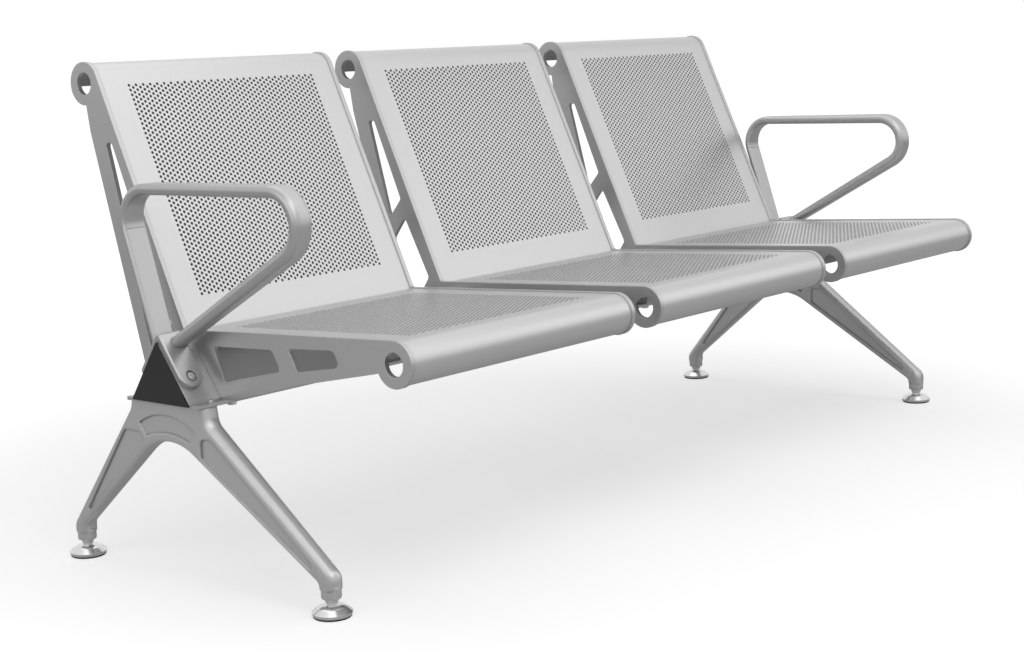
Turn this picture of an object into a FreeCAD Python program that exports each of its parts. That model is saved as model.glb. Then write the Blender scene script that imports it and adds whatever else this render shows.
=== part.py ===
import FreeCAD, Part
import Sketcher
import math
import os
from FreeCAD import Vector, Placement, Rotation

# Three-seat beam seating: perforated steel seats clamped on a three-sided beam, which stands on
# two cast legs with levelling feet. Millimetres; X along the beam, -Y to the front, Z up.
# The origin is on the floor, at the middle of the seating's length and depth.

os.makedirs("parts", exist_ok=True)
doc = FreeCAD.newDocument("beam_seating")

# Driving dimensions
SIZES = {
    "seat_pitch": 580,
    "seat_width": 511,
    "bracket_thick": 8,
    "sheet_thick": 2,
    "sheet_inset": 2,
    "side_gap": 0.3,
    "beam_length": 1794,
    "beam_y": 94,
    "beam_base_z": 280,
    "beam_apex_z": 377,
    "beam_half_width": 67,
    "beam_wall": 3,
    "lip_reach": 18,
    "lip_thick": 6,
    "cap_flange": 3,
    "top_ring_y": 309.5,
    "top_ring_z": 762,
    "front_ring_y": -341,
    "front_ring_z": 369.5,
    "ring_radius": 34,
    "ring_hole": 17.5,
    "back_lean": 24,
    "seat_rise": 2.3,
    "leg_x": 871,
    "leg_head_width": 37,
    "leg_foot_width": 30,
    "front_foot_y": -228,
    "rear_foot_y": 345,
    "stub_bottom_z": 26,
    "arm_x": 865,
    "arm_top_z": 604.5,
    "arm_bend": 48,
    "glide_radius": 30,
    "stud_radius": 5,
    "thread_gap": 0.05,
    "bolt_radius": 4,
    "bolt_hole": 4.5,
}
sheet = doc.addObject("Spreadsheet::Sheet", "sheet")
for row, (alias, value) in enumerate(SIZES.items(), 1):
    sheet.set("A%d" % row, alias)
    sheet.set("B%d" % row, str(value))
    sheet.setAlias("B%d" % row, alias)
doc.recompute()


def size(alias):
    return float(sheet.get(alias))


SEATS = ("left", "middle", "right")
BEAM_Y = size("beam_y")
LIP_TOP = size("beam_base_z") + size("lip_thick")
TOP_RING = Vector(size("top_ring_y"), size("top_ring_z"))
FRONT_RING = Vector(size("front_ring_y"), size("front_ring_z"))
LEAN = math.radians(size("back_lean"))
RISE = math.radians(size("seat_rise"))
# Unit vectors in the side view, (y, z): square to the back and to the seat, towards the sitter
BACK_NORMAL = Vector(-math.cos(LEAN), math.sin(LEAN))
SEAT_NORMAL = Vector(math.sin(RISE), math.cos(RISE))
BACK_DOWN = Vector(-math.sin(LEAN), -math.cos(LEAN))
SEAT_FORWARD = Vector(-math.cos(RISE), math.sin(RISE))


def meet(point_a, along_a, point_b, along_b):
    """Where the line through point_a along along_a crosses the one through point_b."""
    cross = along_a.x * along_b.y - along_a.y * along_b.x
    gap = point_b - point_a
    return point_a + along_a * ((gap.x * along_b.y - gap.y * along_b.x) / cross)


def role(body, name):
    return next(item for item in body.Origin.OriginFeatures if item.Role == name)


def new_body(label):
    body = doc.addObject("PartDesign::Body", label)
    body.Label = label
    return body


def new_sketch(body, plane="YZ_Plane", shift=(0, 0, 0), turn=None):
    """A sketch on one of the body's origin planes, moved by shift in the plane's own axes."""
    sketch = body.newObject("Sketcher::SketchObject", body.Label + "_sketch")
    sketch.AttachmentSupport = [(role(body, plane), "")]
    sketch.MapMode = "FlatFace"
    sketch.AttachmentOffset = Placement(Vector(*shift), turn or Rotation())
    return sketch


def rounding(before, corner, after, radius):
    """Start, middle and end of the arc that rounds a corner between two other points."""
    back = (before - corner).normalize()
    ahead = (after - corner).normalize()
    half = back.getAngle(ahead) / 2
    reach = radius / math.tan(half)
    towards = (back + ahead).normalize()
    middle = corner + towards * (radius / math.sin(half) - radius)
    return corner + back * reach, middle, corner + ahead * reach


def outline(sketch, corners, closed=True):
    """Straight sides through (x, y, radius) corners, with an arc at each corner that has a radius."""
    points = [Vector(c[0], c[1]) for c in corners]
    count = len(points)
    pen = None
    for i, corner in enumerate(corners):
        radius = corner[2] if len(corner) > 2 else 0
        start = end = points[i]
        if radius:
            start, middle, end = rounding(points[i - 1], points[i], points[(i + 1) % count], radius)
            sketch.addGeometry(Part.Arc(start, middle, end), False)
        if pen is None:
            first = start
        else:
            sketch.addGeometry(Part.LineSegment(pen, start), False)
        pen = end
    if closed:
        sketch.addGeometry(Part.LineSegment(pen, first), False)


def round_hole(sketch, centre, radius_alias):
    """A circle whose radius follows the sheet."""
    index = sketch.addGeometry(Part.Circle(centre, Vector(0, 0, 1), size(radius_alias)), False)
    number = sketch.addConstraint(Sketcher.Constraint("Radius", index, size(radius_alias)))
    sketch.setExpression("Constraints[%d]" % number, "sheet." + radius_alias)


def pad(body, sketch, length, reverse=False, both=False):
    feature = body.newObject("PartDesign::Pad", body.Label + "_pad")
    feature.Profile = sketch
    feature.Reversed = reverse
    feature.Midplane = both
    if isinstance(length, str):
        feature.setExpression("Length", length)
    else:
        feature.Length = length
    return feature


def pocket(body, sketch, length, reverse=False, both=False):
    feature = body.newObject("PartDesign::Pocket", body.Label + "_pocket")
    feature.Profile = sketch
    feature.Reversed = reverse
    feature.Midplane = both
    feature.Length = length
    return feature


def revolve(body, sketch):
    """Turns the sketch round its own upright axis."""
    feature = body.newObject("PartDesign::Revolution", body.Label + "_turned")
    feature.Profile = sketch
    feature.ReferenceAxis = (sketch, ["V_Axis"])
    feature.Angle = 360
    return feature


def dress(body, kind, measure, wanted, value):
    """Rounds or bevels the edges of the body so far for which wanted(edge) is true."""
    base = body.Tip
    names = ["Edge%d" % i for i, edge in enumerate(base.Shape.Edges, 1) if wanted(edge)]
    feature = body.newObject(kind, body.Label + "_edges")
    feature.Base = (base, names)
    setattr(feature, measure, value)
    return feature


def fillet(body, wanted, radius):
    return dress(body, "PartDesign::Fillet", "Radius", wanted, radius)


def chamfer(body, wanted, width):
    return dress(body, "PartDesign::Chamfer", "Size", wanted, width)


def disc(sketch, x, y, radius):
    sketch.addGeometry(Part.Circle(Vector(x, y), Vector(0, 0, 1), radius), False)


def hexagon(sketch, x, y, flats):
    """A hexagon of the given width across flats."""
    radius = flats / math.sqrt(3)
    angles = [math.radians(60 * i) for i in range(6)]
    outline(sketch, [(x + radius * math.cos(a), y + radius * math.sin(a)) for a in angles])


def place(body, x, y=0):
    body.Placement = Placement(Vector(x, y, 0), Rotation())


def on_back(down, depth):
    """A point of the side view: down along the back from the top ring, depth under its edge."""
    return TOP_RING + BACK_NORMAL * (size("ring_radius") - depth) + BACK_DOWN * down


def on_seat(back, depth):
    """A point of the side view: back along the seat from the front ring, depth under its edge."""
    return FRONT_RING + SEAT_NORMAL * (size("ring_radius") - depth) - SEAT_FORWARD * back


def seat_corner(depth):
    """The corner of seat and back at the given depth under the bracket's edge."""
    return meet(on_back(0, depth), BACK_DOWN, on_seat(0, depth), SEAT_FORWARD)


def slope_half(z):
    """Half width of the beam's triangle at height z."""
    rise = size("beam_apex_z") - LIP_TOP
    return (size("beam_half_width") - 2) * (size("beam_apex_z") - z) / rise


# Beam: a hollow triangle with a lip along each lower edge
SLOPE = math.atan2(size("beam_apex_z") - LIP_TOP, slope_half(LIP_TOP))
ARM_SCREW_Z = 320.5
INSERT_RADIUS = 5.55


def make_beam():
    body = new_body("beam")
    section = new_sketch(body)
    base = size("beam_base_z")
    foot = slope_half(LIP_TOP)
    reach = foot + size("lip_reach")
    edge = 1.5
    outline(section, [
        (BEAM_Y - reach, base, edge),
        (BEAM_Y + reach, base, edge),
        (BEAM_Y + reach, LIP_TOP, edge),
        (BEAM_Y + foot, LIP_TOP, 3),
        (BEAM_Y, size("beam_apex_z"), 3),
        (BEAM_Y - foot, LIP_TOP, 3),
        (BEAM_Y - reach, LIP_TOP, edge),
    ])
    outline(section, beam_bore(0))
    pad(body, section, "sheet.beam_length", both=True)
    lip_holes = new_sketch(body, "XY_Plane", (0, 0, base))
    for x, y in bracket_bolt_places():
        round_hole(lip_holes, Vector(x, y), "bolt_hole")
    for x, y in leg_screw_places():
        disc(lip_holes, x, y, LEG_SCREW_RADIUS + 0.3)
    pocket(body, lip_holes, size("lip_thick"), reverse=True)
    for side in (-1, 1):
        insert_hole = slope_sketch(body, arm_screw_x(side))
        disc(insert_hole, 0, 0, INSERT_RADIUS)
        pocket(body, insert_hole, 2 * size("beam_wall") + 2, both=True)
    return body


def beam_bore(gap):
    """The inside of the beam's walls in the side view, smaller by gap all round."""
    wall = size("beam_wall") + gap
    floor = size("beam_base_z") + wall
    half = slope_half(floor) - wall / math.sin(SLOPE)
    top = size("beam_apex_z") - wall / math.cos(SLOPE)
    return [(BEAM_Y - half, floor, 2), (BEAM_Y + half, floor, 2), (BEAM_Y, top, 2)]


# End cap: a plastic triangle over the beam's end with a plug inside its walls
def make_end_cap(label, side):
    body = new_body(label)
    end = size("beam_length") / 2
    face = new_sketch(body)
    foot = size("beam_base_z") + 3
    half = slope_half(foot)
    outline(face, [(BEAM_Y - half, foot, 1), (BEAM_Y + half, foot, 1), (BEAM_Y, size("beam_apex_z"), 1)])
    pad(body, face, "sheet.cap_flange", reverse=side < 0)
    plug = new_sketch(body)
    outline(plug, beam_bore(0.2))
    pad(body, plug, 14, reverse=side > 0)
    place(body, side * end)
    return body


# Seat bracket: an L-shaped plate with a ring at each end, straddling the beam on two bolted feet
ROOT = 3
BOLT_INSET = 16
BOLT_REACH = 71
FOOT_WIDTH = 34
FOOT_THICK = 10


def make_bracket(label, x, side):
    body = new_body(label)
    inward = side > 0
    thick = size("bracket_thick")
    arm = new_sketch(body)
    start, corner, front = on_back(0, 0), seat_corner(0), on_seat(0, 0)
    clear = 0.4
    foot = slope_half(LIP_TOP) + clear
    outline(arm, [
        (start.x, start.y),
        (corner.x, corner.y, 6),
        (front.x, front.y),
        (FRONT_RING.x, FRONT_RING.y),
        (-304, 353.5),
        (-146, 322.5),
        (-6, LIP_TOP, 12),
        (BEAM_Y - foot - ROOT, LIP_TOP),
        (BEAM_Y - slope_half(LIP_TOP + ROOT) - clear, LIP_TOP + ROOT),
        (BEAM_Y, size("beam_apex_z") + clear),
        (BEAM_Y + slope_half(LIP_TOP + ROOT) + clear, LIP_TOP + ROOT),
        (BEAM_Y + foot + ROOT, LIP_TOP),
        (196, LIP_TOP, 8),
        (302, 688, 80),
        (307.5, 726),
        (TOP_RING.x, TOP_RING.y),
    ])
    pad(body, arm, "sheet.bracket_thick", reverse=inward)
    rings = new_sketch(body)
    for centre in (TOP_RING, FRONT_RING):
        round_hole(rings, centre, "ring_radius")
    pad(body, rings, "sheet.bracket_thick", reverse=inward)
    openings = new_sketch(body)
    for centre in (TOP_RING, FRONT_RING):
        round_hole(openings, centre, "ring_hole")
    outline(openings, [(250.5, 670, 6), (193.5, 530, 6), (222, 497, 4), (265.5, 670, 6)])
    outline(openings, [(186, 498, 6), (133, 392, 8), (181, 324, 10), (216.5, 459, 8)])
    outline(openings, [(40, 365, 5), (-92, 370, 6), (-106, 345, 8), (-105, 338.5, 3), (17, 312.5, 6)])
    outline(openings, [(-127.5, 375, 4), (-222, 379.5, 10), (-234, 356, 8), (-145, 342, 4)])
    pocket(body, openings, thick, reverse=not inward)
    ledges = new_sketch(body)
    under = size("sheet_inset") + size("sheet_thick")
    for point, away, low in ((on_back, -BACK_DOWN, 14), (on_seat, SEAT_FORWARD, 16)):
        near = [seat_corner(d) + away * low for d in (under, under + 3)]
        far = [point(50, d) for d in (under + 3, under)]
        outline(ledges, [(p.x, p.y) for p in near + far])
    pad(body, ledges, thick + 16, reverse=inward)
    feet = new_sketch(body)
    top = LIP_TOP + FOOT_THICK
    for turn in (-1, 1):
        outline(feet, [
            (BEAM_Y + turn * 90, LIP_TOP),
            (BEAM_Y + turn * (foot + ROOT), LIP_TOP),
            (BEAM_Y + turn * (slope_half(LIP_TOP + ROOT) + clear), LIP_TOP + ROOT),
            (BEAM_Y + turn * (slope_half(top) + clear), top),
            (BEAM_Y + turn * 90, top),
        ])
    pad(body, feet, FOOT_WIDTH, reverse=inward)
    bolts = new_sketch(body, "XY_Plane", (0, 0, LIP_TOP))
    for turn in (-1, 1):
        round_hole(bolts, Vector(-side * BOLT_INSET, BEAM_Y + turn * BOLT_REACH), "bolt_hole")
    pocket(body, bolts, FOOT_THICK, reverse=True)
    place(body, x)
    return body


def seat_x(index):
    return (index - 1) * size("seat_pitch")


def bracket_places():
    """(seat name, side, x of the outer face) of the six brackets."""
    for index, name in enumerate(SEATS):
        for side in (-1, 1):
            yield name, side, seat_x(index) + side * size("seat_width") / 2


def bracket_bolt_places():
    places = [x - side * BOLT_INSET for _, side, x in bracket_places()]
    return [(x, BEAM_Y + turn * BOLT_REACH) for x in places for turn in (-1, 1)]


def leg_screw_places():
    return [(side * (size("leg_x") - LEG_SCREW_INSET), y) for side in (-1, 1) for y in LEG_SCREW_Y]


def on_slope(z, out, turn):
    """A point of the side view, out from the beam's front (turn -1) or rear slope at height z."""
    return Vector(BEAM_Y + turn * slope_half(z), z) + Vector(turn * math.sin(SLOPE), math.cos(SLOPE)) * out


def out_of_slope(point):
    """How far a point lies out of the beam's nearer slope."""
    turn = -1 if point.y < BEAM_Y else 1
    foot = on_slope(point.z, 0, turn)
    return abs(point.y - foot.x) * math.sin(SLOPE)


def slope_sketch(body, x, out=0.0):
    """A sketch square to the armrest's screw, out from the beam's front slope."""
    centre = on_slope(ARM_SCREW_Z, out, -1)
    turn = Rotation(Vector(1, 0, 0), math.degrees(SLOPE))
    return new_sketch(body, "XY_Plane", (x, centre.x, centre.y), turn)


# Seat and back panels: sheet steel between the brackets, rolled over their rings, flanged behind
def corner_at(point, radius=0):
    return point.x, point.y, radius


def panel_section(sketch, centre, normal, along, roll_end, fold, flange, depth):
    """The bent sheet in the side view: roll, straight run, and a flange of some depth after fold."""
    outer = size("ring_radius") - size("sheet_inset")
    inner = outer - size("sheet_thick")
    roll_start = math.atan2(normal.y, normal.x)

    def ring(radius, angle):
        return centre + Vector(math.cos(angle), math.sin(angle)) * radius

    for radius in (outer, inner):
        points = [ring(radius, a) for a in (roll_start, (roll_start + roll_end) / 2, roll_end)]
        sketch.addGeometry(Part.Arc(*points), False)
    sketch.addGeometry(Part.LineSegment(ring(inner, roll_end), ring(outer, roll_end)), False)
    tip = fold + flange * depth
    inward = (Vector(-flange.y, flange.x) if flange.cross(along).z < 0 else Vector(flange.y, -flange.x))
    inside = inward * size("sheet_thick")
    fold_inside = meet(ring(inner, roll_start), along, fold + inside, flange)
    outline(sketch, [
        corner_at(ring(outer, roll_start)),
        corner_at(fold, 3),
        corner_at(tip),
        corner_at(tip + inside),
        corner_at(fold_inside, 1),
        corner_at(ring(inner, roll_start)),
    ], closed=False)


PANEL_WIDTH = "sheet.seat_width - 2 * sheet.bracket_thick - 2 * sheet.side_gap"
BACK_OVERRUN = 7
FOLD_GAP = 0.6
FIELD_WIDTH = 399
# Where the openings start along the sheet from its ring, and how far they run
BACK_FIELD = (17.6, 360.6)
SEAT_FIELD = (22, 368.5)
OPENINGS_ACROSS = 9
OPENINGS_ALONG = 8
OPEN_SHARE = 0.58


def punch(body, start, along, length):
    """A grid of square openings over the part of the sheet that the real one has its fine holes in."""
    steep = math.degrees(math.atan2(along.y, along.x))
    turn = Rotation(Vector(1, 0, 0), steep)
    field = new_sketch(body, "XY_Plane", (0, start.x, start.y), turn)
    step_x, step_y = FIELD_WIDTH / OPENINGS_ACROSS, length / OPENINGS_ALONG
    half_x, half_y = step_x * OPEN_SHARE / 2, step_y * OPEN_SHARE / 2
    for i in range(OPENINGS_ACROSS):
        for j in range(OPENINGS_ALONG):
            x, y = (i + 0.5) * step_x - FIELD_WIDTH / 2, (j + 0.5) * step_y
            outline(field, [
                (x - half_x, y - half_y), (x + half_x, y - half_y), (x + half_x, y + half_y), (x - half_x, y + half_y)])
    pocket(body, field, 8, both=True)


def make_back_panel(label, index):
    body = new_body(label)
    sketch = new_sketch(body)
    fold = seat_corner(size("sheet_inset")) + BACK_DOWN * BACK_OVERRUN
    panel_section(sketch, TOP_RING, BACK_NORMAL, BACK_DOWN, math.radians(-8), fold, -SEAT_FORWARD, 12)
    pad(body, sketch, PANEL_WIDTH, both=True)
    punch(body, on_back(BACK_FIELD[0], size("sheet_inset")), BACK_DOWN, BACK_FIELD[1])
    place(body, seat_x(index))
    return body


def make_seat_panel(label, index):
    body = new_body(label)
    sketch = new_sketch(body)
    fold = seat_corner(size("sheet_inset")) + SEAT_FORWARD * FOLD_GAP
    panel_section(sketch, FRONT_RING, SEAT_NORMAL, -SEAT_FORWARD, math.radians(285), fold, BACK_DOWN, 6)
    pad(body, sketch, PANEL_WIDTH, both=True)
    punch(body, on_seat(SEAT_FIELD[0], size("sheet_inset")), -SEAT_FORWARD, SEAT_FIELD[1])
    place(body, seat_x(index))
    return body


# Legs: a cast upside-down V that narrows to a round stub at each foot, recessed on both faces
LEG_SLANT = math.atan(0.0159)
STUB_TOP = 41
STUD_BORE_TOP = 57
LEG_SCREW_Y = (BEAM_Y - 71.3, BEAM_Y + 71.3)
LEG_SCREW_INSET = 11.5
LEG_SCREW_RADIUS = 2.5
LEG_ROUNDING = 9


def leg_half(z):
    """Half width of the leg at height z: its two faces lean towards each other going down."""
    return size("leg_head_width") / 2 + (z - 261) * math.tan(LEG_SLANT)


def leg_face_sketch(body, side):
    """A sketch on the leg's slanted face."""
    turn = Rotation(Vector(1, 0, 0), side * math.degrees(LEG_SLANT))
    return new_sketch(body, "YZ_Plane", (0, 0, side * leg_half(0)), turn)


def make_leg(label, side):
    body = new_body(label)
    top = size("beam_base_z")
    stub = size("leg_foot_width") / 2
    ankle = stub - 1.5
    front, rear = size("front_foot_y"), size("rear_foot_y")
    shape = new_sketch(body)
    outline(shape, [
        (13.5, top),
        (9.5, 255, 25),
        (front - ankle, 62, 20),
        (front - ankle, STUB_TOP),
        (front + ankle, STUB_TOP),
        (front + ankle, 48.8, 11),
        (107.2, 243.3, 106),
        (rear - ankle, 56.4, 12),
        (rear - ankle, STUB_TOP),
        (rear + ankle, STUB_TOP),
        (rear + ankle, 55.4, 20),
        (185, 265, 20),
        (181, top),
    ])
    pad(body, shape, 2 * leg_half(top), both=True)
    slants = new_sketch(body, "XZ_Plane")
    low = STUB_TOP - 2
    for turn in (-1, 1):
        wide = turn * (leg_half(top) + 5)
        outline(slants, [(turn * leg_half(top), top), (wide, top), (wide, low), (turn * leg_half(low), low)])
    pocket(body, slants, 1000, both=True)
    doc.recompute()

    def is_side_edge(edge):
        middle = edge.CenterOfMass
        on_face = all(abs(abs(v.X) - leg_half(v.Z)) < 1e-3 for v in edge.Vertexes)
        return on_face and abs(middle.x) > 1 and STUB_TOP + 0.1 < middle.z < top - 0.1

    fillet(body, is_side_edge, LEG_ROUNDING)
    for turn in (-1, 1):
        recesses = leg_face_sketch(body, turn)
        outline(recesses, [(-2, 235, 9), (20, 234, 10), (20, 202.5, 7), (-206, 65.9, 4), (-206, 75.6, 4)])
        outline(recesses, [(201, 230.3, 8), (158, 230, 9), (158, 214.6, 6), (328, 68.5, 2.5)])
        crescent(recesses)
        pocket(body, recesses, 3.5, reverse=turn < 0)
    stubs = new_sketch(body, "XY_Plane", (0, 0, size("stub_bottom_z")))
    bores = new_sketch(body, "XY_Plane", (0, 0, size("stub_bottom_z")))
    for y in (front, rear):
        disc(stubs, 0, y, stub)
        disc(bores, 0, y, size("stud_radius") + size("thread_gap"))
    pad(body, stubs, STUB_TOP + 4 - size("stub_bottom_z"))
    doc.recompute()
    fillet(body, lambda edge: abs(edge.BoundBox.ZMax - size("stub_bottom_z")) < 1e-3, 4)
    pocket(body, bores, STUD_BORE_TOP - size("stub_bottom_z"), reverse=True)
    screws = new_sketch(body, "XY_Plane", (0, 0, top))
    for y in LEG_SCREW_Y:
        disc(screws, -side * LEG_SCREW_INSET, y, LEG_SCREW_RADIUS + size("thread_gap"))
    pocket(body, screws, 22)
    place(body, side * size("leg_x"))
    return body


def crescent(sketch):
    """The arched recess over the fork of the leg: two arcs and rounded ends."""
    upper = [Vector(28.4, 240), Vector(99.5, 262.5), Vector(162.5, 245)]
    lower = [Vector(149, 225), Vector(100, 234.5), Vector(44.6, 224.5)]
    sketch.addGeometry(Part.Arc(*upper), False)
    sketch.addGeometry(Part.LineSegment(upper[2], lower[0]), False)
    sketch.addGeometry(Part.Arc(*lower), False)
    sketch.addGeometry(Part.LineSegment(lower[2], upper[0]), False)


# Armrests: a cast closed loop on a saddle foot that lies over the beam
def across(body, point, along, width, thick, radius):
    """A rounded rectangle across the armrest's line at a point of the side view."""
    turn = Rotation(Vector(1, 0, 0), math.degrees(math.atan2(-along.x, along.y)))
    sketch = new_sketch(body, "XY_Plane", (0, point.x, point.y), turn)
    w, t = width / 2, thick / 2
    outline(sketch, [(-w, -t, radius), (w, -t, radius), (w, t, radius), (-w, t, radius)])
    return sketch


def loft(body, start, end):
    feature = body.newObject("PartDesign::AdditiveLoft", body.Label + "_loft")
    feature.Profile = start
    feature.Sections = [end]
    feature.Ruled = True
    return feature


def sweep(body, arc, start, end):
    spine = new_sketch(body)
    spine.addGeometry(Part.Arc(*arc), False)
    feature = body.newObject("PartDesign::AdditivePipe", body.Label + "_bend")
    feature.Profile = start
    feature.Spine = spine
    feature.Sections = [end]
    feature.Transformation = "Multisection"
    return feature


ARM_HEEL_Z = 318
ARM_FOOT_SHIFT = 9.5
ARM_FOOT_GAP = 0.3
ARM_FOOT_THICK = 9.5
ARM_FOOT_WIDTH = 44
ARM_RECESS = 4.5


def make_armrest(label, side):
    body = new_body(label)
    saddle = new_sketch(body, shift=(0, 0, side * ARM_FOOT_SHIFT))
    shoulder = [on_slope(size("beam_apex_z") - 18, d, -1) for d in (ARM_FOOT_GAP, ARM_FOOT_THICK)]
    heel = [on_slope(ARM_HEEL_Z, d, 1) for d in (ARM_FOOT_THICK, ARM_FOOT_GAP)]
    crown = [size("beam_apex_z") + d / math.cos(SLOPE) for d in (ARM_FOOT_THICK, ARM_FOOT_GAP)]
    outline(saddle, [
        corner_at(shoulder[0]),
        corner_at(shoulder[1]),
        (BEAM_Y, crown[0], 7),
        corner_at(heel[0]),
        corner_at(heel[1]),
        (BEAM_Y, crown[1]),
    ])
    pad(body, saddle, ARM_FOOT_WIDTH, both=True)
    doc.recompute()
    wall = ARM_FOOT_THICK - ARM_FOOT_GAP
    fillet(body, lambda edge: abs(edge.Length - wall) < 1e-3 and edge.CenterOfMass.y > BEAM_Y, 12)
    tongue = slope_sketch(body, side * ARM_FOOT_SHIFT, ARM_FOOT_GAP)
    top = (size("beam_apex_z") - 12 - ARM_SCREW_Z) / math.sin(SLOPE)
    wide, low = ARM_FOOT_WIDTH / 2, -17.5
    outline(tongue, [(-wide, top), (-wide, low, 21.5), (wide, low, 21.5), (wide, top)])
    pad(body, tongue, wall)
    doc.recompute()

    def is_outer_rim(edge):
        middle = edge.CenterOfMass
        return abs(abs(middle.x - side * ARM_FOOT_SHIFT) - wide) < 1e-3 and out_of_slope(middle) > ARM_FOOT_THICK - 0.1

    fillet(body, is_outer_rim, 2.5)
    strap_foot = Vector(116, 365)
    rear_corner = Vector(192, size("arm_top_z") - 1)
    front_corner = Vector(-341, size("arm_top_z") + 4.5)
    bar_foot = Vector(84, 371.7)
    rear_arc = rounding(strap_foot, rear_corner, front_corner, size("arm_bend"))
    front_arc = rounding(rear_corner, front_corner, bar_foot, size("arm_bend"))
    up = (rear_corner - strap_foot).normalize()
    forward = (front_corner - rear_corner).normalize()
    down = (bar_foot - front_corner).normalize()
    strap = [across(body, strap_foot, up, 40, 10.5, 4.5), across(body, rear_arc[0], up, 43, 10.5, 4.5)]
    rear_bend = [across(body, rear_arc[0], up, 42, 11.5, 5), across(body, rear_arc[2], forward, 39, 17, 8)]
    front_bend = [across(body, front_arc[0], forward, 38, 19, 9), across(body, front_arc[2], down, 34, 22, 10.5)]
    bar = across(body, bar_foot, down, 31.5, 17.5, 8.5)
    loft(body, *strap)
    sweep(body, rear_arc, *rear_bend)
    loft(body, rear_bend[1], front_bend[0])
    sweep(body, front_arc, *front_bend)
    loft(body, front_bend[1], bar)
    recess = slope_sketch(body, side * ARM_FOOT_SHIFT, ARM_FOOT_THICK)
    disc(recess, 0, 0, 9)
    pocket(body, recess, ARM_RECESS)
    through = slope_sketch(body, side * ARM_FOOT_SHIFT, ARM_FOOT_THICK)
    disc(through, 0, 0, 4.3)
    pocket(body, through, ARM_FOOT_THICK + 1)
    place(body, side * size("arm_x"))
    return body


def arm_screw_x(side):
    return side * (size("arm_x") + ARM_FOOT_SHIFT)


# Armrest screws and the threaded inserts that they go into
def make_arm_screws(label):
    body = new_body(label)
    body.AllowCompound = True
    seat = ARM_FOOT_THICK - ARM_RECESS
    layers = ((disc, 6.5, 3.8, False), (disc, size("bolt_radius"), 23, True))
    for shape, radius, length, down in layers:
        sketch = slope_sketch(body, 0, seat)
        for side in (-1, 1):
            shape(sketch, arm_screw_x(side), 0, radius)
        pad(body, sketch, length, reverse=down)
    sockets = slope_sketch(body, 0, seat + 3.8)
    for side in (-1, 1):
        hexagon(sockets, arm_screw_x(side), 0, 5)
    pocket(body, sockets, 2.4)
    return body


def make_arm_inserts(label):
    body = new_body(label)
    body.AllowCompound = True
    wall = size("beam_wall")
    for out, radius, length in ((0, INSERT_RADIUS - 0.05, 15), (-wall - 0.1, INSERT_RADIUS + 1.4, 5)):
        sketch = slope_sketch(body, 0, out)
        for side in (-1, 1):
            disc(sketch, arm_screw_x(side), 0, radius)
        pad(body, sketch, length, reverse=True)
    bores = slope_sketch(body, 0, 0)
    for side in (-1, 1):
        disc(bores, arm_screw_x(side), 0, size("bolt_radius") + size("thread_gap"))
    pocket(body, bores, 16)
    return body


# Bolts and nuts that clamp the brackets' feet on the beam's lips
BOLT_FLATS = 13
NUT_HEIGHT = 6.5


def make_bracket_bolts(label):
    body = new_body(label)
    body.AllowCompound = True
    heads = new_sketch(body, "XY_Plane", (0, 0, size("beam_base_z")))
    shanks = new_sketch(body, "XY_Plane", (0, 0, size("beam_base_z")))
    for x, y in bracket_bolt_places():
        hexagon(heads, x, y, BOLT_FLATS)
        disc(shanks, x, y, size("bolt_radius"))
    pad(body, heads, 5.3, reverse=True)
    pad(body, shanks, size("lip_thick") + FOOT_THICK + NUT_HEIGHT + 2.5)
    return body


def make_bracket_nuts(label):
    body = new_body(label)
    body.AllowCompound = True
    nuts = new_sketch(body, "XY_Plane", (0, 0, LIP_TOP + FOOT_THICK))
    for x, y in bracket_bolt_places():
        hexagon(nuts, x, y, BOLT_FLATS)
        disc(nuts, x, y, size("bolt_radius") + size("thread_gap"))
    pad(body, nuts, NUT_HEIGHT)
    return body


# Screws through the beam's lips into the legs
def make_leg_screws(label):
    body = new_body(label)
    body.AllowCompound = True
    heads = new_sketch(body, "XY_Plane", (0, 0, LIP_TOP))
    shanks = new_sketch(body, "XY_Plane", (0, 0, LIP_TOP))
    for x, y in leg_screw_places():
        disc(heads, x, y, 4.2)
        disc(shanks, x, y, LEG_SCREW_RADIUS)
    pad(body, heads, 3.3)
    pad(body, shanks, size("lip_thick") + 18, reverse=True)
    return body


# Levelling feet: rubber pad, chromed cup, threaded stud with a hexagon collar, lock nut
PAD_TOP = 3
RIM_Z = 7.5
CUP_TOP = 17.5
COLLAR_TOP = 20.5
NUT_BOTTOM = 21
STUD_TOP = 51


def make_glide_pad(label, x, y):
    body = new_body(label)
    sketch = new_sketch(body, "XZ_Plane")
    outline(sketch, [(0, 0), (27, 0), (28, 1), (28, PAD_TOP), (0, PAD_TOP)])
    revolve(body, sketch)
    place(body, x, y)
    return body


def make_glide_cup(label, x, y):
    body = new_body(label)
    sketch = new_sketch(body, "XZ_Plane")
    rim = size("glide_radius")
    bore = size("stud_radius") + 2 * size("thread_gap")
    floor = PAD_TOP + 2
    outline(sketch, [
        (0, PAD_TOP),
        (rim - 1.5, PAD_TOP),
        (rim, RIM_Z),
        (18, CUP_TOP - 0.6, 17),
        (9, CUP_TOP),
        (bore, CUP_TOP),
        (bore, floor),
        (0, floor),
    ])
    revolve(body, sketch)
    place(body, x, y)
    return body


def make_glide_stud(label, x, y):
    body = new_body(label)
    radius = size("stud_radius")
    low = PAD_TOP + 2.2
    sketch = new_sketch(body, "XZ_Plane")
    outline(sketch, [(0, low), (radius, low), (radius, STUD_TOP - 1), (radius - 1, STUD_TOP), (0, STUD_TOP)])
    revolve(body, sketch)
    collar = new_sketch(body, "XY_Plane", (0, 0, CUP_TOP + 0.2))
    hexagon(collar, 0, 0, 14)
    pad(body, collar, COLLAR_TOP - CUP_TOP - 0.2)
    place(body, x, y)
    return body


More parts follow.
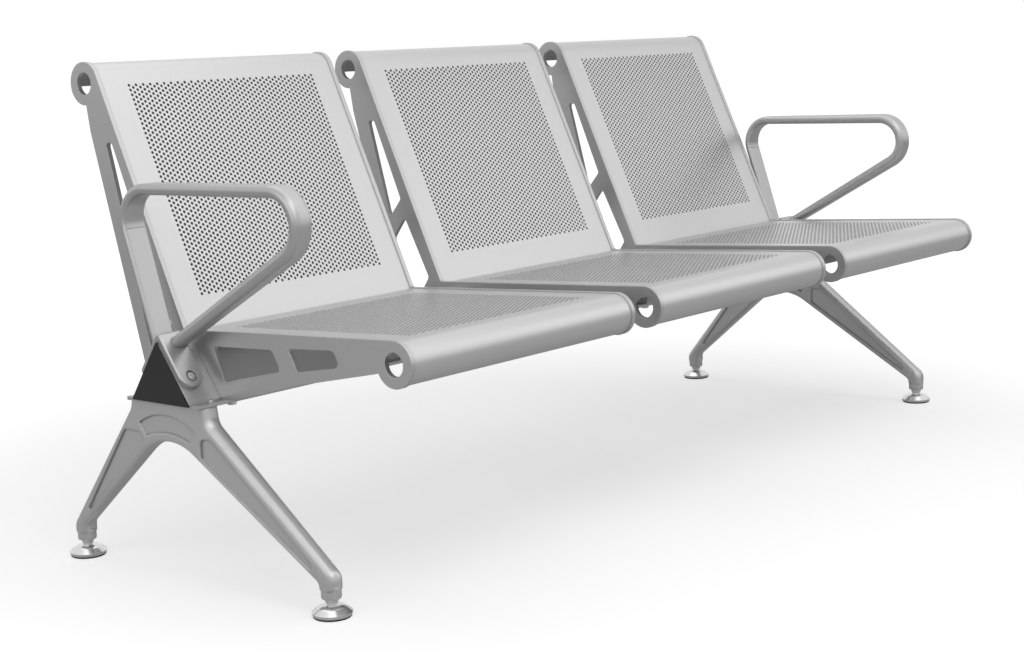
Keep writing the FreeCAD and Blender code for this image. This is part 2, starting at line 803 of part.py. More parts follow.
def make_lock_nuts(label):
    body = new_body(label)
    body.AllowCompound = True
    nuts = new_sketch(body, "XY_Plane", (0, 0, NUT_BOTTOM))
    for _, x, y in glide_places():
        hexagon(nuts, x, y, 17)
        disc(nuts, x, y, size("stud_radius") + size("thread_gap"))
    pad(body, nuts, size("stub_bottom_z") - NUT_BOTTOM)
    return body


def glide_places():
    """(name, x, y) of the four levelling feet."""
    for name, side in SIDES:
        for end, y in (("front", size("front_foot_y")), ("rear", size("rear_foot_y"))):
            yield name + "_" + end, side * size("leg_x"), y


SIDES = (("left", -1), ("right", 1))

parts = [make_beam()]
for name, side in SIDES:
    parts.append(make_end_cap(name + "_end_cap", side))
    parts.append(make_leg(name + "_leg", side))
    parts.append(make_armrest(name + "_armrest", side))
for name, side, x in bracket_places():
    parts.append(make_bracket("%s_seat_%s_bracket" % (name, dict((s, n) for n, s in SIDES)[side]), x, side))
for index, name in enumerate(SEATS):
    parts.append(make_back_panel(name + "_back_panel", index))
    parts.append(make_seat_panel(name + "_seat_panel", index))
parts.append(make_arm_screws("armrest_screws"))
parts.append(make_arm_inserts("armrest_inserts"))
parts.append(make_bracket_bolts("bracket_bolts"))
parts.append(make_bracket_nuts("bracket_nuts"))
parts.append(make_leg_screws("leg_screws"))
for name, x, y in glide_places():
    parts.append(make_glide_pad(name + "_glide_pad", x, y))
    parts.append(make_glide_cup(name + "_glide_cup", x, y))
    parts.append(make_glide_stud(name + "_glide_stud", x, y))
parts.append(make_lock_nuts("lock_nuts"))

doc.recompute()
for item in doc.Objects:
    if "Invalid" in item.State or "Error" in item.State:
        raise SystemExit("%s could not be built" % item.Label)
for body in parts:
    if body.Shape.isNull() or not body.Shape.isValid():
        raise SystemExit("%s has no valid shape" % body.Label)
    body.Shape.exportStep("parts/%s.step" % body.Label)
print(len(parts), "sub-parts written")
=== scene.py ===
import math

import bpy
import numpy as np
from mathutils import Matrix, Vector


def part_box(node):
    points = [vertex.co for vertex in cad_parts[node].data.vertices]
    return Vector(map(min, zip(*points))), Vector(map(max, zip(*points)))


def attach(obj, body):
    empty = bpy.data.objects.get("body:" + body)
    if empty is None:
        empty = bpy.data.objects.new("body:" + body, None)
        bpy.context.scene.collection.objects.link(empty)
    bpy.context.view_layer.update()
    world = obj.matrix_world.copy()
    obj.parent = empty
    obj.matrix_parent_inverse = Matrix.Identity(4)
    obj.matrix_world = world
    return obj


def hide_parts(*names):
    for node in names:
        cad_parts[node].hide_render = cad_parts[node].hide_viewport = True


# Three-seat beam seating: perforated steel seats and backs on a three-sided beam, cast legs and
# armrests, levelling feet. Metres; X along the beam, -Y to the front, Z up, origin on the floor.
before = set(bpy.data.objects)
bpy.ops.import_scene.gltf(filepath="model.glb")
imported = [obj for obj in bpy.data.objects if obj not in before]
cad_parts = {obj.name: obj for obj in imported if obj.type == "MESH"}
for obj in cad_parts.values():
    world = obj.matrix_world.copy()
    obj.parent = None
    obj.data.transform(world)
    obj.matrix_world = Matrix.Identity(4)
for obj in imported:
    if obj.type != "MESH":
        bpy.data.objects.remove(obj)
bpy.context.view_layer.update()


# Back panels: three sheets of 2 mm steel, punched with staggered rows of 5 mm holes, rolled over
# the brackets' top rings and folded behind at the foot. They lie between the brackets' inner faces
# and are powder coated silver.
SEATS = ("left", "middle", "right")
SEAT_PITCH = 0.580
SHEET = 0.002
PANEL_HALF = 0.2475
ROLL_RADIUS = 0.032
FOLD_RADIUS = 0.003
HOLE_RADIUS = 0.00255
HOLE_SIDES = 12
COLUMNS = 57
COLUMN_STEP = 0.394 / (COLUMNS - 1)
ROW_STEP = 0.00826

# Greatest steps of the mesh: along the roll, along the fold, and from point to point on the flat.
ROLL_STEP = math.radians(5)
FOLD_STEP = math.radians(12)
FLAT_STEP = 0.02

# In the side view, (y, z): the middle of the beam's underside, the centres of the brackets' top
# and front rings, and unit vectors square to the back and the seat and along them.
beam_low, beam_high = (np.array(corner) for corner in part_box("beam"))
BEAM_MIDDLE = np.array([(beam_low[1] + beam_high[1]) / 2, beam_low[2]])
TOP_RING = BEAM_MIDDLE + (0.2155, 0.482)
FRONT_RING = BEAM_MIDDLE + (-0.435, 0.0895)
LEAN = math.radians(24)
RISE = math.radians(2.3)
BACK_NORMAL = np.array([-math.cos(LEAN), math.sin(LEAN)])
BACK_DOWN = np.array([-math.sin(LEAN), -math.cos(LEAN)])
SEAT_NORMAL = np.array([math.sin(RISE), math.cos(RISE)])
SEAT_BACK = np.array([math.cos(RISE), -math.sin(RISE)])


def turned(centre, radius, angles):
    """Points of the side view on a circle: centre + radius * (cos, sin) of each angle."""
    return centre + radius * np.stack([np.cos(angles), np.sin(angles)], axis=1)


def spread(start, end, step):
    """Even values from start to end, no further apart than step."""
    return np.linspace(start, end, max(2, int(np.ceil(abs(end - start) / step)) + 1))


def meet(point_a, along_a, point_b, along_b):
    """Where the line through point_a along along_a crosses the one through point_b."""
    steps = np.linalg.solve(np.stack([along_a, -along_b], axis=1), point_b - point_a)
    return point_a + along_a * steps[0]


def sheet_section(ring, roll_end, normal, along, corner, flange, depth, field_start, rows):
    """The bent sheet in the side view, as matching outer and inner points.

    An arc of ROLL_RADIUS round the ring from the angle roll_end to the face's normal, a straight
    run along the face with a point every half row of holes from field_start on, an arc of
    FOLD_RADIUS at the corner, and a flange of the given depth. The fold's straight sides meet at
    the corner, so each starts FOLD_RADIUS times the tangent of half the turn away from it. An
    inner point lies one sheet's thickness under its outer one. Also returns the number of points
    before the first row of holes.
    """
    face = math.atan2(normal[1], normal[0])
    roll = spread(roll_end, face, ROLL_STEP)
    start = ring + normal * ROLL_RADIUS
    half_turn = math.acos(np.clip(along @ flange, -1, 1)) / 2
    reach = FOLD_RADIUS * math.tan(half_turn)
    run = (corner - start) @ along - reach
    field_end = field_start + rows * ROW_STEP
    down = np.concatenate([
        spread(0, field_start, FLAT_STEP)[1:-1],
        np.linspace(field_start, field_end, 2 * rows + 1),
        spread(field_end, run, FLAT_STEP)[1:],
    ])
    bend_centre = corner - along * reach - normal * FOLD_RADIUS
    bend_end = face - math.copysign(2 * half_turn, along[0] * normal[1] - along[1] * normal[0])
    bend = spread(face, bend_end, FOLD_STEP)[1:]
    bend_normals = turned(np.zeros(2), 1, bend)
    straight = start + down[:, None] * along
    tip = bend_centre + bend_normals[-1] * FOLD_RADIUS + flange * (depth - reach)
    outer = np.concatenate([
        turned(ring, ROLL_RADIUS, roll), straight, bend_centre + bend_normals * FOLD_RADIUS, [tip]])
    normals = np.concatenate([
        turned(np.zeros(2), 1, roll), np.tile(normal, (len(down), 1)),
        bend_normals, bend_normals[-1:]])
    before = len(roll) + len(spread(0, field_start, FLAT_STEP)) - 2
    return outer, outer - normals * SHEET, before


SHARP_FROM = math.radians(38)


def new_mesh(name, points, faces):
    """A mesh object from an array of points and arrays of faces, one array per number of sides.

    It is smooth but for the edges that turn by more than SHARP_FROM.
    """
    mesh = bpy.data.meshes.new(name)
    mesh.vertices.add(len(points))
    mesh.vertices.foreach_set("co", np.asarray(points, dtype=np.float32).ravel())
    corners = np.concatenate([f.ravel() for f in faces]).astype(np.int32)
    sides = np.concatenate([np.full(len(f), f.shape[1]) for f in faces])
    mesh.loops.add(len(corners))
    mesh.loops.foreach_set("vertex_index", corners)
    mesh.polygons.add(len(sides))
    mesh.polygons.foreach_set("loop_start", (np.cumsum(sides) - sides).astype(np.int32))
    mesh.polygons.foreach_set("use_smooth", np.ones(len(sides), dtype=bool))
    mesh.update(calc_edges=True)
    mesh.set_sharp_from_angle(angle=SHARP_FROM)
    piece = bpy.data.objects.new(name, mesh)
    bpy.context.scene.collection.objects.link(piece)
    return piece


def brick_faces(border, hole):
    """Triangles between the six border points of each brick and the polygon of its hole.

    Both start at +X and go round the same way. Each border point fans to the hole's sides nearest
    to it, and each side of the border closes the gap with one triangle.
    """
    per_side = HOLE_SIDES // 6
    triangles = []
    for k in range(6):
        ahead = (k * per_side + 1) % HOLE_SIDES
        triangles.append(np.stack([border[:, k], border[:, (k + 1) % 6], hole[:, ahead]], axis=1))
        for step in range(per_side):
            near = (ahead - per_side + step) % HOLE_SIDES
            after = (near + 1) % HOLE_SIDES
            triangles.append(np.stack([border[:, k], hole[:, after], hole[:, near]], axis=1))
    return np.concatenate(triangles)


def punched_sheet(name, middle, section, rows, face_coat, hole_wall_shade_coat):
    """A bent sheet with staggered round holes, closed all round.

    The points form a grid: one line of the side view at every x, for the outer and for the inner
    face. Outside the field each cell is one quad. In the field a column of cells is laid as bricks
    two half rows high, every other column half a brick lower, and each brick is a ring of
    triangles between its six border points and the polygon of its hole.
    """
    outer, inner, before = section
    margin = spread(COLUMNS * COLUMN_STEP / 2, PANEL_HALF, FLAT_STEP)
    field_x = (np.arange(COLUMNS + 1) - COLUMNS / 2) * COLUMN_STEP
    xs = np.concatenate([-margin[:0:-1], field_x, margin[1:]])
    across, along = len(xs), len(outer)
    layer = across * along

    def at(i, j):
        """The outer face's point at the i-th x and the j-th point of the side view."""
        return i * along + j

    # Each cell is known by its corner with the lowest i and j. A brick is known by its first cell.
    i, j = np.meshgrid(np.arange(across - 1), np.arange(along - 1), indexing="ij")
    column, line = i - (len(margin) - 1), j - before
    in_field = (column >= 0) & (column < COLUMNS) & (line >= 0) & (line < 2 * rows)
    lower = column % 2
    has_brick = in_field & ((line - lower) % 2 == 0) & (line - lower >= 0) & (line + 1 < 2 * rows)
    plain = ~in_field | (lower == 1) & ((line == 0) | (line == 2 * rows - 1))
    i0, j0 = i[plain], j[plain]
    quads = np.stack([at(i0, j0), at(i0 + 1, j0), at(i0 + 1, j0 + 1), at(i0, j0 + 1)], axis=1)
    i1, j1 = i[has_brick], j[has_brick]
    border = np.stack([
        at(i1 + 1, j1 + 1), at(i1 + 1, j1 + 2), at(i1, j1 + 2),
        at(i1, j1 + 1), at(i1, j1), at(i1 + 1, j1)], axis=1)

    # The holes' points follow the grid's: first all of the outer face, then all of the inner one.
    turns = np.arange(HOLE_SIDES) * 2 * math.pi / HOLE_SIDES
    hole_x = (xs[i1] + xs[i1 + 1])[:, None] / 2 + HOLE_RADIUS * np.cos(turns)
    down = outer[j1 + 2] - outer[j1]
    down /= np.linalg.norm(down, axis=1)[:, None]
    hole_yz = [
        face[j1 + 1][:, None, :] + HOLE_RADIUS * np.sin(turns)[None, :, None] * down[:, None, :]
        for face in (outer, inner)]
    grid = [
        np.concatenate([np.repeat(xs, along)[:, None], np.tile(face, (across, 1))], axis=1)
        for face in (outer, inner)]
    rings = [np.concatenate([hole_x[..., None], yz], axis=2).reshape(-1, 3) for yz in hole_yz]
    points = np.concatenate(grid + rings) + (middle, 0, 0)
    hole_points = len(i1) * HOLE_SIDES
    ring = np.arange(hole_points).reshape(-1, HOLE_SIDES) + 2 * layer

    top = brick_faces(border, ring)
    bottom = brick_faces(border + layer, ring + hole_points)[:, ::-1]
    following = np.roll(ring, -1, axis=1)
    walls = np.stack(
        [ring, following, following + hole_points, ring + hole_points], axis=2).reshape(-1, 4)
    lines, columns = np.arange(along - 1), np.arange(across - 1)
    rims = []
    for start, end, turn in (
        (at(0, lines), at(0, lines + 1), 1),
        (at(across - 1, lines), at(across - 1, lines + 1), -1),
        (at(columns, 0), at(columns + 1, 0), -1),
        (at(columns, along - 1), at(columns + 1, along - 1), 1),
    ):
        rims.append(np.stack([start, end, end + layer, start + layer], axis=1)[:, ::turn])
    fours = np.concatenate([quads, quads[:, ::-1] + layer] + rims + [walls])
    threes = np.concatenate([top, bottom])

    # A side view that runs the other way round would turn the faces inwards.
    tangent, out = outer[before + 1] - outer[before], outer[before] - inner[before]
    if tangent[0] * out[1] - tangent[1] * out[0] < 0:
        fours, threes = fours[:, ::-1], threes[:, ::-1]
    panel = new_mesh(name, points, [fours, threes])
    # The hole walls take the second material, whose darker grey is painted shade inside the holes.
    slots = np.zeros(len(fours) + len(threes), dtype=np.int32)
    slots[len(fours) - len(walls):len(fours)] = 1
    panel.data.materials.append(face_coat)
    panel.data.materials.append(hole_wall_shade_coat)
    panel.data.polygons.foreach_set("material_index", slots)
    return panel


def new_material(name, grey, metallic, roughness):
    """A neutral grey material whose principled shader has these values on its own sockets."""
    material = bpy.data.materials.new(name)
    material.use_nodes = True
    shader = material.node_tree.nodes["Principled BSDF"]
    shader.inputs["Base Color"].default_value = (grey, grey, grey, 1)
    shader.inputs["Metallic"].default_value = metallic
    shader.inputs["Roughness"].default_value = roughness
    return material, shader


# Smooth noise seldom leaves this range of values.
NOISE_FROM, NOISE_TO = 0.3, 0.7


def coat_grain_group():
    """Powder paint: a faint orange peel, and metal flakes that catch the light unevenly.

    Height is smooth noise at the peel's size. Flake is finer noise, spread to the range 0 to 1.
    """
    group = bpy.data.node_groups.new("coat_grain", "ShaderNodeTree")
    for name, value in (("Peel per metre", 900.0), ("Flakes per metre", 5200.0)):
        socket = group.interface.new_socket(name, in_out="INPUT", socket_type="NodeSocketFloat")
        socket.default_value = value
    for name in ("Height", "Flake"):
        group.interface.new_socket(name, in_out="OUTPUT", socket_type="NodeSocketFloat")
    nodes, links = group.nodes, group.links
    given = nodes.new("NodeGroupInput")
    result = nodes.new("NodeGroupOutput")
    place = nodes.new("ShaderNodeTexCoord")
    for socket, detail, output in (
        ("Peel per metre", 1.0, "Height"),
        ("Flakes per metre", 2.0, "Flake"),
    ):
        noise = nodes.new("ShaderNodeTexNoise")
        noise.inputs["Detail"].default_value = detail
        links.new(place.outputs["Object"], noise.inputs["Vector"])
        links.new(given.outputs[socket], noise.inputs["Scale"])
        spread_out = nodes.new("ShaderNodeMapRange")
        spread_out.inputs["From Min"].default_value = NOISE_FROM
        spread_out.inputs["From Max"].default_value = NOISE_TO
        links.new(noise.outputs["Fac"], spread_out.inputs["Value"])
        links.new(spread_out.outputs["Result"], result.inputs[output])
    return group


coat_grain = coat_grain_group()

# Painted shade in inner corners: where no more than CORNER_OPEN of the space near a point is open,
# the coat keeps only the share of its grey set below.
CORNER_OPEN = 0.4
CORNER_SHADE_TONE = 0.6


def coated(name, greys, metallic, matt, peel_depth, peel_per_metre=900.0, edge_radius=0.0,
           corner_depth=0.0):
    """Silver powder coat: grey and roughness follow the flakes, and the peel shapes the gloss.

    Greys and matt give the lowest and the highest value of grey and roughness. With an edge
    radius, the coat runs round sharp edges. With a corner depth, it is darker within that
    distance of inner corners, as painted shade.
    """
    material, shader = new_material(name, greys[1], metallic, sum(matt) / 2)
    nodes, links = material.node_tree.nodes, material.node_tree.links
    grain = nodes.new("ShaderNodeGroup")
    grain.node_tree = coat_grain
    grain.inputs["Peel per metre"].default_value = peel_per_metre
    tone = nodes.new("ShaderNodeMix")
    tone.data_type = "RGBA"
    tone.inputs["A"].default_value = (greys[0], greys[0], greys[0], 1)
    tone.inputs["B"].default_value = (greys[1], greys[1], greys[1], 1)
    links.new(grain.outputs["Flake"], tone.inputs["Factor"])
    # Painted shade: the grey darkens where an inner corner hides the space around a point.
    if corner_depth:
        corner = nodes.new("ShaderNodeAmbientOcclusion")
        corner.samples = 8
        corner.only_local = True
        corner.inputs["Distance"].default_value = corner_depth
        corner_shade = nodes.new("ShaderNodeMapRange")
        corner_shade.inputs["From Min"].default_value = CORNER_OPEN
        corner_shade.inputs["To Min"].default_value = CORNER_SHADE_TONE
        links.new(corner.outputs["AO"], corner_shade.inputs["Value"])
        shaded_tone = nodes.new("ShaderNodeMix")
        shaded_tone.data_type = "RGBA"
        shaded_tone.blend_type = "MULTIPLY"
        shaded_tone.inputs["Factor"].default_value = 1.0
        links.new(tone.outputs["Result"], shaded_tone.inputs["A"])
        links.new(corner_shade.outputs["Result"], shaded_tone.inputs["B"])
        tone = shaded_tone
    links.new(tone.outputs["Result"], shader.inputs["Base Color"])
    gloss = nodes.new("ShaderNodeMapRange")
    gloss.inputs["To Min"].default_value = matt[0]
    gloss.inputs["To Max"].default_value = matt[1]
    links.new(grain.outputs["Flake"], gloss.inputs["Value"])
    links.new(gloss.outputs["Result"], shader.inputs["Roughness"])
    bump = nodes.new("ShaderNodeBump")
    bump.inputs["Distance"].default_value = peel_depth
    if edge_radius:
        edge = nodes.new("ShaderNodeBevel")
        edge.samples = 4
        edge.inputs["Radius"].default_value = edge_radius
        links.new(edge.outputs["Normal"], bump.inputs["Normal"])
    links.new(grain.outputs["Height"], bump.inputs["Height"])
    links.new(bump.outputs["Normal"], shader.inputs["Normal"])
    return material


def paint(material, *nodes):
    """Gives these nodes of the frame this finish."""
    for node in nodes:
        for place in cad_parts[node].material_slots:
            place.material = material


SHEET_PEEL = 0.00001
sheet_coat = coated("silver_sheet_coat", (0.53, 0.60), 0.7, (0.34, 0.42), SHEET_PEEL)
# The holes' walls take a darker, rougher grey of the same coat: painted shade inside the holes.
hole_shade_coat = coated("silver_coat_painted_shade_in_holes", (0.32, 0.40), 0.4, (0.5, 0.6), SHEET_PEEL)

# The faces of the back and the seat meet at the back fold, and the back runs on past it.
BACK_ROWS = 44
BACK_ROLL_END = math.radians(-8)
BACK_OVERRUN = 0.007
BACK_FLANGE = 0.012
BACK_FIELD_START = 0.016
back_fold = meet(
    TOP_RING + BACK_NORMAL * ROLL_RADIUS, BACK_DOWN,
    FRONT_RING + SEAT_NORMAL * ROLL_RADIUS, SEAT_BACK)
back_section = sheet_section(
    TOP_RING, BACK_ROLL_END, BACK_NORMAL, BACK_DOWN, back_fold + BACK_DOWN * BACK_OVERRUN,
    SEAT_BACK, BACK_FLANGE, BACK_FIELD_START, BACK_ROWS)
for index, seat in enumerate(SEATS):
    panel = punched_sheet(
        seat + "_back_sheet", (index - 1) * SEAT_PITCH, back_section, BACK_ROWS,
        sheet_coat, hole_shade_coat)
    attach(panel, "frame")
    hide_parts(seat + "_back_panel")


# Seat panels: the same punched sheet, rolled round the brackets' front rings and turned down at
# the back. Each lies on ledges of its two brackets.
SEAT_ROWS = 45
SEAT_ROLL_END = math.radians(285)
SEAT_GAP = 0.0006
SEAT_FLANGE = 0.006
SEAT_FIELD_START = 0.0205
seat_section = sheet_section(
    FRONT_RING, SEAT_ROLL_END, SEAT_NORMAL, SEAT_BACK, back_fold - SEAT_BACK * SEAT_GAP,
    BACK_DOWN, SEAT_FLANGE, SEAT_FIELD_START, SEAT_ROWS)
for index, seat in enumerate(SEATS):
    panel = punched_sheet(
        seat + "_seat_sheet", (index - 1) * SEAT_PITCH, seat_section, SEAT_ROWS,
        sheet_coat, hole_shade_coat)
    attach(panel, "frame")
    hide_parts(seat + "_seat_panel")


# Seat brackets: six flat aluminium castings with a ring at each end, coated as the sheets are.
# Their
# # grey is set a little darker as painted shade, and darker still in their inner corners, also
# painted shade.
SIDES = ("left", "right")
CORNER_DEPTH = 0.004
bracket_shade_coat = coated(
    "silver_bracket_coat_painted_shade", (0.46, 0.54), 0.7, (0.32, 0.40), SHEET_PEEL,
    edge_radius=0.0015, corner_depth=CORNER_DEPTH)
paint(bracket_shade_coat, *("%s_seat_%s_bracket" % (seat, side) for seat in SEATS for side in SIDES))


# Beam and end caps: a folded steel tube with a lip along each lower edge, coated as the brackets
# are, closed at both ends by glossy black plastic plugs.
def speckled(name, grey, metallic, matt, per_metre):
    """A material whose gloss wanders between two roughnesses with a noise of the given size."""
    material, shader = new_material(name, grey, metallic, sum(matt) / 2)
    nodes, links = material.node_tree.nodes, material.node_tree.links
    place = nodes.new("ShaderNodeTexCoord")
    noise = nodes.new("ShaderNodeTexNoise")
    noise.inputs["Scale"].default_value = per_metre
    noise.inputs["Detail"].default_value = 3.0
    links.new(place.outputs["Object"], noise.inputs["Vector"])
    gloss = nodes.new("ShaderNodeMapRange")
    gloss.inputs["From Min"].default_value = NOISE_FROM
    gloss.inputs["From Max"].default_value = NOISE_TO
    gloss.inputs["To Min"].default_value = matt[0]
    gloss.inputs["To Max"].default_value = matt[1]
    links.new(noise.outputs["Fac"], gloss.inputs["Value"])
    links.new(gloss.outputs["Result"], shader.inputs["Roughness"])
    return material


# The beam takes the brackets' coat: its darker grey and darker inner corners are painted shade.
paint(bracket_shade_coat, "beam")
cap_plastic = speckled("black_cap_plastic", 0.010, 0.0, (0.14, 0.20), 60.0)
paint(cap_plastic, "left_end_cap", "right_end_cap")


# Legs and armrests: aluminium castings, ground smooth and coated silver. Their skin is a little
# softer than the rolled sheet's, and the faces of the legs' limbs are slightly crowned.
CASTING_PEEL = 0.000012
CASTING_PEEL_PER_METRE = 420.0
LIMB_CURVATURE = 40.0
CREST_INSET = 0.006


def computed(tree, operation, *values):
    """The output of a Math node; each value is a number or the output socket that it reads."""
    node = tree.nodes.new("ShaderNodeMath")
    node.operation = operation
    for socket, value in zip(node.inputs, values):
        if isinstance(value, float):
            socket.default_value = value
        else:
            tree.links.new(value, socket)
    return node.outputs["Value"]


def crown(material, crest, curvature):
    """Shades flat faces as if they bulged between their edges.

    With x as the distance from the bench's middle, the height is -curvature / 2 times the square
    of x - crest, so the slope across a face grows evenly from the crest on.
    """
    tree = material.node_tree
    place = tree.nodes.new("ShaderNodeTexCoord")
    apart = tree.nodes.new("ShaderNodeSeparateXYZ")
    tree.links.new(place.outputs["Object"], apart.inputs["Vector"])
    outward = computed(tree, "ABSOLUTE", apart.outputs["X"])
    away = computed(tree, "SUBTRACT", outward, crest)
    square = computed(tree, "MULTIPLY", away, away)
    bulge = tree.nodes.new("ShaderNodeBump")
    bulge.inputs["Distance"].default_value = 1.0
    tree.links.new(computed(tree, "MULTIPLY", square, -curvature / 2), bulge.inputs["Height"])
    peel_normal = tree.nodes["Bump"].inputs["Normal"]
    tree.links.new(peel_normal.links[0].from_socket, bulge.inputs["Normal"])
    tree.links.new(bulge.outputs["Normal"], peel_normal)


# The legs' grey is set lighter than the armrests' though both carry one coat: painted light. Their
# inner corners are darker with painted shade.
leg_lit_coat = coated(
    "silver_leg_coat_painted_light", (0.56, 0.64), 0.5, (0.28, 0.36), CASTING_PEEL, CASTING_PEEL_PER_METRE,
    edge_radius=0.005, corner_depth=CORNER_DEPTH)
leg_low, leg_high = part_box("right_leg")
crown(leg_lit_coat, (leg_low[0] + leg_high[0]) / 2 - CREST_INSET, LIMB_CURVATURE)
# The armrests' grey is set darker than the legs': painted shade. Their inner corners are darker
# with painted shade too.
armrest_shaded_coat = coated(
    "silver_armrest_coat_painted_shade", (0.43, 0.51), 0.6, (0.28, 0.36), CASTING_PEEL, CASTING_PEEL_PER_METRE,
    edge_radius=0.0018, corner_depth=CORNER_DEPTH)
for side in SIDES:
    paint(leg_lit_coat, side + "_leg")
    paint(armrest_shaded_coat, side + "_armrest")


# Screws, bolts and nuts: zinc-plated steel.
zinc = speckled("zinc_plate", 0.62, 1.0, (0.24, 0.38), 900.0)
paint(zinc, "armrest_screws", "armrest_inserts", "bracket_bolts", "bracket_nuts", "leg_screws",
      "lock_nuts")


# Levelling feet: chromed cups on finely grained black rubber pads, screwed up into the legs.
RUBBER_GRAINS_PER_METRE = 1500.0
RUBBER_GRAIN_DEPTH = 0.0001

chrome = speckled("bright_chrome", 0.66, 1.0, (0.16, 0.26), 400.0)
pad_rubber, pad_shader = new_material("pad_rubber", 0.018, 0.0, 0.75)
rubber_nodes, rubber_links = pad_rubber.node_tree.nodes, pad_rubber.node_tree.links
rubber_place = rubber_nodes.new("ShaderNodeTexCoord")
rubber_noise = rubber_nodes.new("ShaderNodeTexNoise")
rubber_noise.inputs["Scale"].default_value = RUBBER_GRAINS_PER_METRE
rubber_bump = rubber_nodes.new("ShaderNodeBump")
rubber_bump.inputs["Distance"].default_value = RUBBER_GRAIN_DEPTH
rubber_links.new(rubber_place.outputs["Object"], rubber_noise.inputs["Vector"])
rubber_links.new(rubber_noise.outputs["Fac"], rubber_bump.inputs["Height"])
rubber_links.new(rubber_bump.outputs["Normal"], pad_shader.inputs["Normal"])
for foot in ("left_front", "left_rear", "right_front", "right_rear"):
    paint(chrome, foot + "_glide_cup")
    paint(pad_rubber, foot + "_glide_pad")
    paint(zinc, foot + "_glide_stud")


# Floor: pale and without a visible end. To the camera it glows a little, more with the distance
# from the bench, until it meets the white surround. Metal mirrors a small share of that glow.
FLOOR_HALF = 30.0
FADE_START, FADE_END = 0.8, 2.6
GLOW_NEAR, GLOW_FAR = 0.55, 0.95
MIRRORED_SHARE = 0.15

floor_mesh = bpy.data.meshes.new("floor")
floor_corners = np.array([(-1, -1, 0), (1, -1, 0), (1, 1, 0), (-1, 1, 0)]) * FLOOR_HALF
floor_mesh.from_pydata(floor_corners.tolist(), [], [(0, 1, 2, 3)])
floor = bpy.data.objects.new("floor", floor_mesh)
bpy.context.scene.collection.objects.link(floor)
floor_paint, floor_shader = new_material("pale_floor", 0.66, 0.0, 0.9)
floor_shader.inputs["Specular IOR Level"].default_value = 0.0
floor_tree = floor_paint.node_tree
floor_place = floor_tree.nodes.new("ShaderNodeTexCoord")
from_bench = floor_tree.nodes.new("ShaderNodeVectorMath")
from_bench.operation = "LENGTH"
floor_tree.links.new(floor_place.outputs["Object"], from_bench.inputs[0])
floor_fade = floor_tree.nodes.new("ShaderNodeMapRange")
floor_fade.interpolation_type = "SMOOTHSTEP"
floor_fade.inputs["From Min"].default_value = FADE_START
floor_fade.inputs["From Max"].default_value = FADE_END
floor_fade.inputs["To Min"].default_value = GLOW_NEAR
floor_fade.inputs["To Max"].default_value = GLOW_FAR
floor_tree.links.new(from_bench.outputs["Value"], floor_fade.inputs["Value"])
floor_ray = floor_tree.nodes.new("ShaderNodeLightPath").outputs
mirrored = computed(floor_tree, "MULTIPLY", floor_ray["Is Glossy Ray"], MIRRORED_SHARE)
floor_seen = computed(floor_tree, "MAXIMUM", floor_ray["Is Camera Ray"], mirrored)
floor_seen = computed(floor_tree, "MAXIMUM", floor_seen, floor_ray["Is Transmission Ray"])
floor_glow = computed(floor_tree, "MULTIPLY", floor_fade.outputs["Result"], floor_seen)
floor_shader.inputs["Emission Color"].default_value = (1, 1, 1, 1)
floor_tree.links.new(floor_glow, floor_shader.inputs["Emission Strength"])
floor.data.materials.append(floor_paint)


# Backdrop: a dark card close behind each back's holes, painted shade that stands for the unlit room
# # behind the bench seen through them, shown to the camera alone and from the front alone, and a
# white surround.
SHADE_CARD_GAP = 0.0015
SHADE_CARD_EDGE = 0.001
SHADE_CARD_GLOW = 0.02
AMBIENT = 0.26

shade_card_half = COLUMNS * COLUMN_STEP / 2 + SHADE_CARD_EDGE
shade_card_ends = BACK_FIELD_START + np.array([-SHADE_CARD_EDGE, BACK_ROWS * ROW_STEP + SHADE_CARD_EDGE])
shade_card_line = (TOP_RING + BACK_NORMAL * (ROLL_RADIUS - SHEET - SHADE_CARD_GAP)
              + BACK_DOWN * shade_card_ends[:, None])
shade_card_points = [
    ((index - 1) * SEAT_PITCH + side * shade_card_half, *shade_card_line[end])
    for index in range(len(SEATS)) for side, end in ((-1, 0), (-1, 1), (1, 1), (1, 0))]
shade_card_faces = np.arange(len(shade_card_points)).reshape(-1, 4)
shade_card_mesh = bpy.data.meshes.new("painted_shade_card")
shade_card_mesh.from_pydata(shade_card_points, [], shade_card_faces.tolist())
shade_card = bpy.data.objects.new("painted_shade_card", shade_card_mesh)
bpy.context.scene.collection.objects.link(shade_card)
# The card's faint dark glow is painted shade, not a lamp.
shade_card_material = bpy.data.materials.new("painted_shade_card")
shade_card_material.use_nodes = True
shade_card_tree = shade_card_material.node_tree
shade_card_tree.nodes.remove(shade_card_tree.nodes["Principled BSDF"])
shade_card_emission = shade_card_tree.nodes.new("ShaderNodeEmission")
shade_card_emission.inputs["Strength"].default_value = SHADE_CARD_GLOW
shade_card_clear = shade_card_tree.nodes.new("ShaderNodeBsdfTransparent")
shade_card_ray = shade_card_tree.nodes.new("ShaderNodeLightPath").outputs
shade_card_side = shade_card_tree.nodes.new("ShaderNodeNewGeometry").outputs
shade_card_front = computed(shade_card_tree, "SUBTRACT", 1.0, shade_card_side["Backfacing"])
shade_card_shown = computed(shade_card_tree, "MULTIPLY", shade_card_ray["Is Camera Ray"], shade_card_front)
shade_card_mix = shade_card_tree.nodes.new("ShaderNodeMixShader")
shade_card_tree.links.new(shade_card_shown, shade_card_mix.inputs["Fac"])
shade_card_tree.links.new(shade_card_clear.outputs["BSDF"], shade_card_mix.inputs[1])
shade_card_tree.links.new(shade_card_emission.outputs["Emission"], shade_card_mix.inputs[2])
shade_card_tree.links.new(
    shade_card_mix.outputs["Shader"], shade_card_tree.nodes["Material Output"].inputs["Surface"])
shade_card.data.materials.append(shade_card_material)

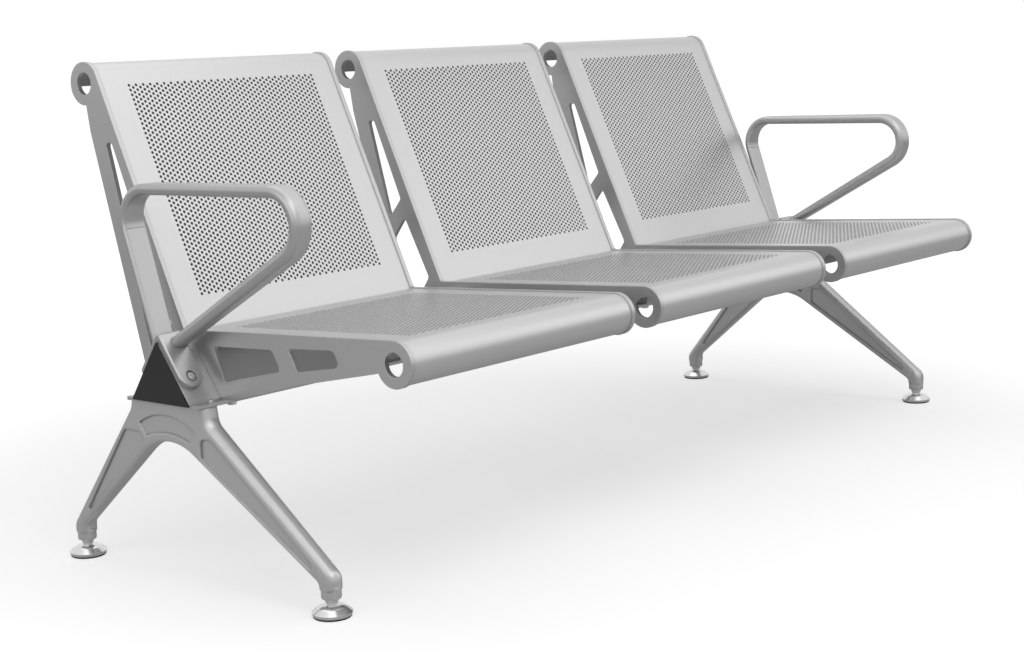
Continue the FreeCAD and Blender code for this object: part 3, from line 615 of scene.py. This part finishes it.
world = bpy.data.worlds.new("studio")
world.use_nodes = True
bpy.context.scene.world = world
sky_tree = world.node_tree
surround = sky_tree.nodes["Background"]
surround.inputs["Color"].default_value = (1, 1, 1, 1)
sky_ray = sky_tree.nodes.new("ShaderNodeLightPath").outputs
sky_seen = computed(sky_tree, "MAXIMUM", sky_ray["Is Camera Ray"], sky_ray["Is Glossy Ray"])
sky_seen = computed(sky_tree, "MAXIMUM", sky_seen, sky_ray["Is Transmission Ray"])
sky_level = sky_tree.nodes.new("ShaderNodeMapRange")
sky_level.inputs["To Min"].default_value = AMBIENT
sky_level.inputs["To Max"].default_value = 1.0
sky_tree.links.new(sky_seen, sky_level.inputs["Value"])
sky_tree.links.new(sky_level.outputs["Result"], surround.inputs["Strength"])


# Light: five wide softboxes. The strongest are overhead and at the front left; the others stand
# ahead, at the front right and beside the left end.
def softbox(name, place, target, width, height, watts):
    """A rectangular lamp that faces its target."""
    lamp = bpy.data.lights.new(name, "AREA")
    lamp.shape = "RECTANGLE"
    lamp.size, lamp.size_y = width, height
    lamp.energy = watts
    holder = bpy.data.objects.new(name, lamp)
    bpy.context.scene.collection.objects.link(holder)
    ahead = np.array(target) - np.array(place)
    tilt = math.atan2(math.hypot(ahead[0], ahead[1]), -ahead[2])
    turn = math.atan2(ahead[1], ahead[0]) - math.pi / 2
    holder.location = place
    holder.rotation_euler = (tilt, 0, turn)


softbox("overhead_softbox", (0, 0, 3.0), (0, 0, 0.3), 4.4, 3.0, 27)
softbox("front_softbox", (0.2, -1.8, 2.7), (0, -0.1, 0.3), 3.2, 1.6, 9)
softbox("right_softbox", (2.5, -2.4, 1.9), (0, 0, 0.5), 2.6, 1.8, 9)
softbox("left_softbox", (-2.1, -2.0, 2.6), (0, 0, 0.4), 2.8, 2.0, 24)
softbox("side_softbox", (-3.4, 0.3, 1.4), (0, 0, 0.4), 2.0, 1.6, 8)


# Camera: at the photograph's angle, a little above the seats, from the front left corner. Its
# place, turn and focal length come from a fit to the seats, the beam and the feet.
IMAGE_WIDTH = 1024
FOCAL_PIXELS = 1797.0
CAMERA_PLACE = (-2.5681, -2.0515, 0.8056)
CAMERA_DEGREES = (80.71, 2.26, -49.60)

camera_data = bpy.data.cameras.new("camera")
camera_data.sensor_width = 36.0
camera_data.lens = FOCAL_PIXELS * camera_data.sensor_width / IMAGE_WIDTH
camera = bpy.data.objects.new("camera", camera_data)
camera.location = CAMERA_PLACE
camera.rotation_euler = [math.radians(angle) for angle in CAMERA_DEGREES]
bpy.context.scene.collection.objects.link(camera)
bpy.context.scene.camera = camera
bpy.context.scene.view_settings.view_transform = "Standard"
